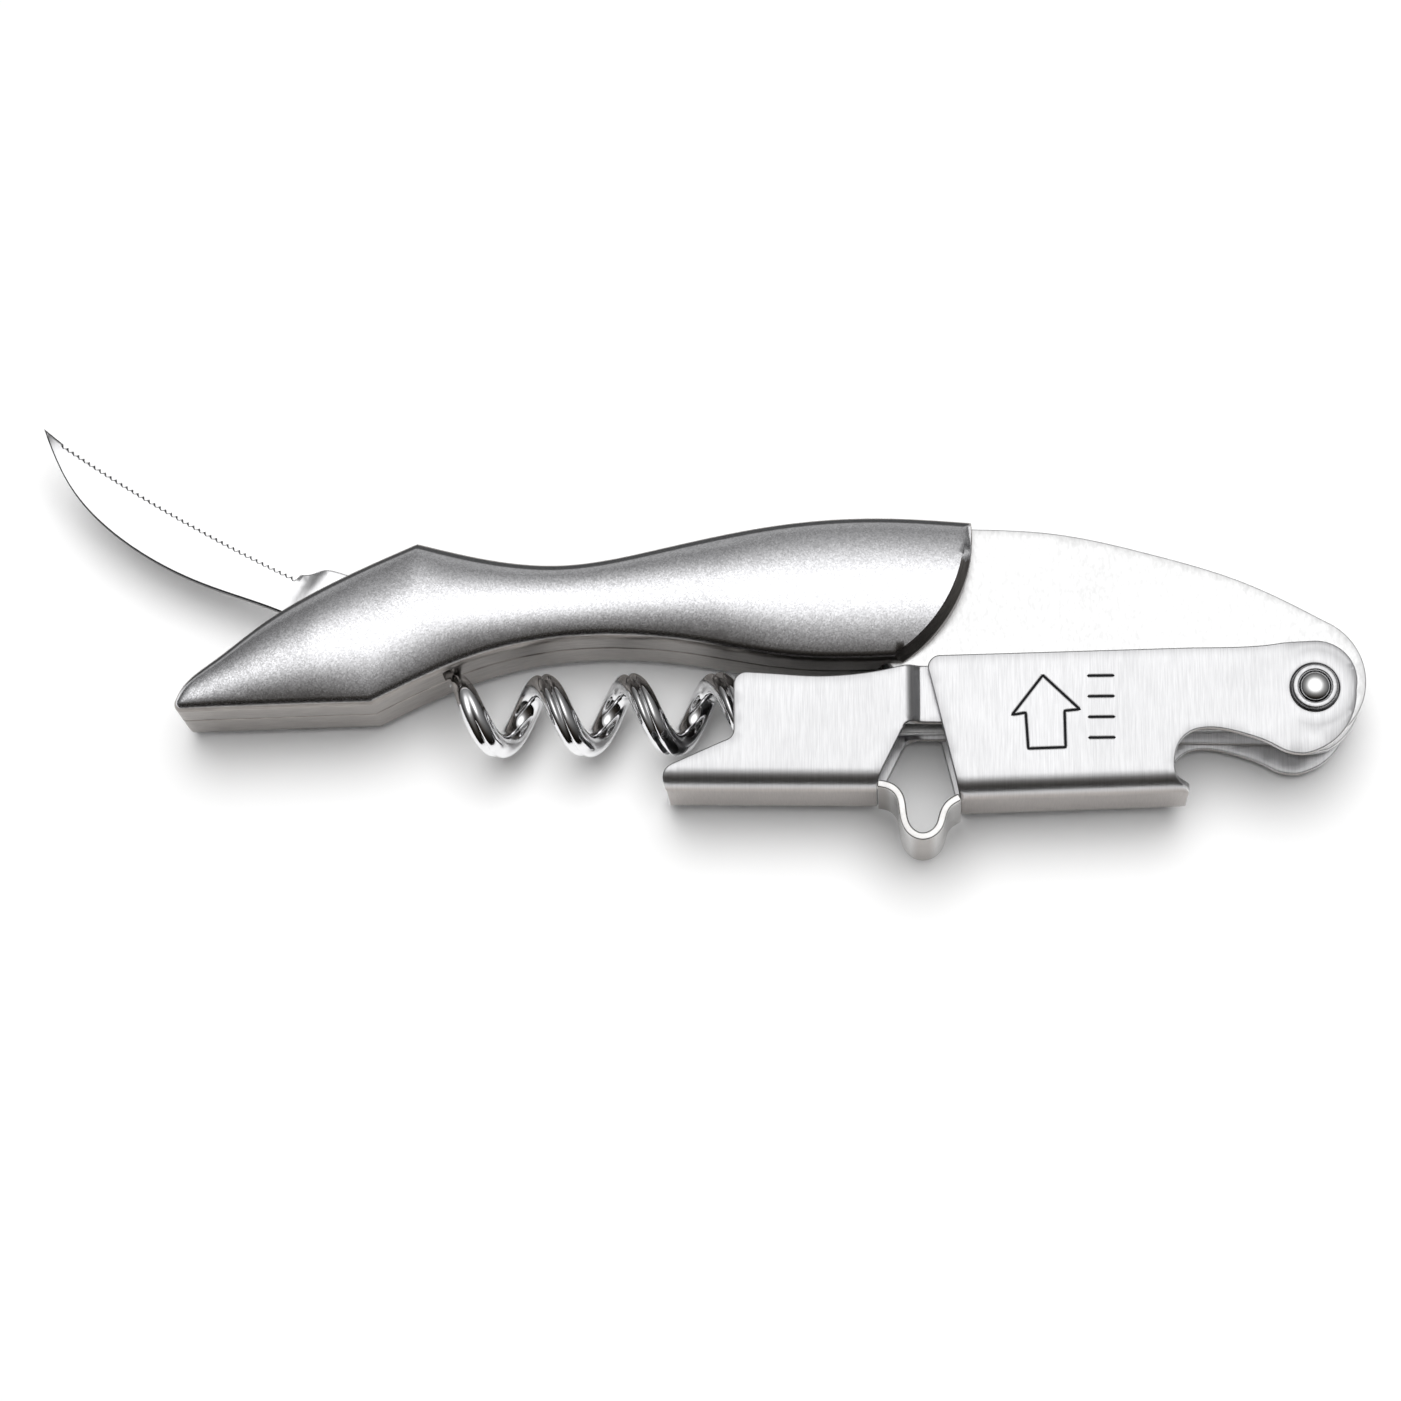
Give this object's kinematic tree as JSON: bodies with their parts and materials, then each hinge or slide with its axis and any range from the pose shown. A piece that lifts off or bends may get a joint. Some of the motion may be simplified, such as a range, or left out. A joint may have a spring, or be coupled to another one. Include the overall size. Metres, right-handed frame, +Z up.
{
  "type": "waiters corkscrew",
  "caption": "Folding waiter's corkscrew with a domed metal handle, serrated foil cutter, wire worm, two-step hinged lever, loop spring and cap lifter",
  "frame": {"origin": "centre of the whole tool's outline, on the surface that it lies on", "axes": "+X from the foot of the handle to the main pivot, +Y to the back of the handle, +Z up through the tool's thickness"},
  "size_m": [0.134, 0.0446, 0.014],
  "materials": {
    "shell_finish": "sparkling metallic lacquer, semi-gloss",
    "body_steel": "brushed",
    "lever_steel": "fine brushed",
    "blade_steel": "satin",
    "worm_chrome": "polished",
    "spring_steel": "satin with polished edges",
    "ring_steel": "turned",
    "rivet_polish": "polished",
    "pin_steel": "turned"
  },
  "bodies": {
    "handle": {"near_shell": "shell_finish", "far_shell": "shell_finish", "near_liner": "body_steel", "far_liner": "body_steel", "centre_spacer": "body_steel", "blade_pin": "pin_steel", "blade_washers": "pin_steel", "worm_pin": "pin_steel", "worm_washers": "pin_steel", "pivot_washers": "pin_steel", "near_pivot_ring": "ring_steel", "far_pivot_ring": "ring_steel", "main_rivet": "rivet_polish", "liner_rivets": "pin_steel", "near_shell_screws": "pin_steel", "far_shell_screws": "pin_steel"},
    "blade": {"blade": "blade_steel"},
    "boot_lever": {"boot_lever": "lever_steel"},
    "push_lever": {"push_lever": "lever_steel", "loop_spring": "spring_steel"},
    "worm": {"worm": "worm_chrome"}
  },
  "joints": [
    {"name": "blade_fold", "type": "hinge", "parent": "handle", "child": "blade", "pos_m": [-0.03031, 0.00028, 0.007], "axis": [0, 0, 1], "range_deg": [-144, 0]},
    {"name": "lever_swing", "type": "hinge", "parent": "handle", "child": "boot_lever", "pos_m": [0.06169, -0.00722, 0.007], "axis": [0, 0, 1], "range_deg": [0, 150]},
    {"name": "push_travel", "type": "hinge", "parent": "boot_lever", "child": "push_lever", "pos_m": [0.06169, -0.00722, 0.007], "axis": [0, 0, 1], "range_deg": [-3.5, 0], "stiffness_Nm_per_rad": 2, "deforming": ["loop_spring"]},
    {"name": "worm_swing", "type": "hinge", "parent": "handle", "child": "worm", "pos_m": [0.01669, -0.00812, 0.007], "axis": [0, 0, 1], "range_deg": [0, 90]}
  ],
  "couplings": [
    {"joint": "worm_swing", "follows": "lever_swing", "ratio": 0.6}
  ]
}
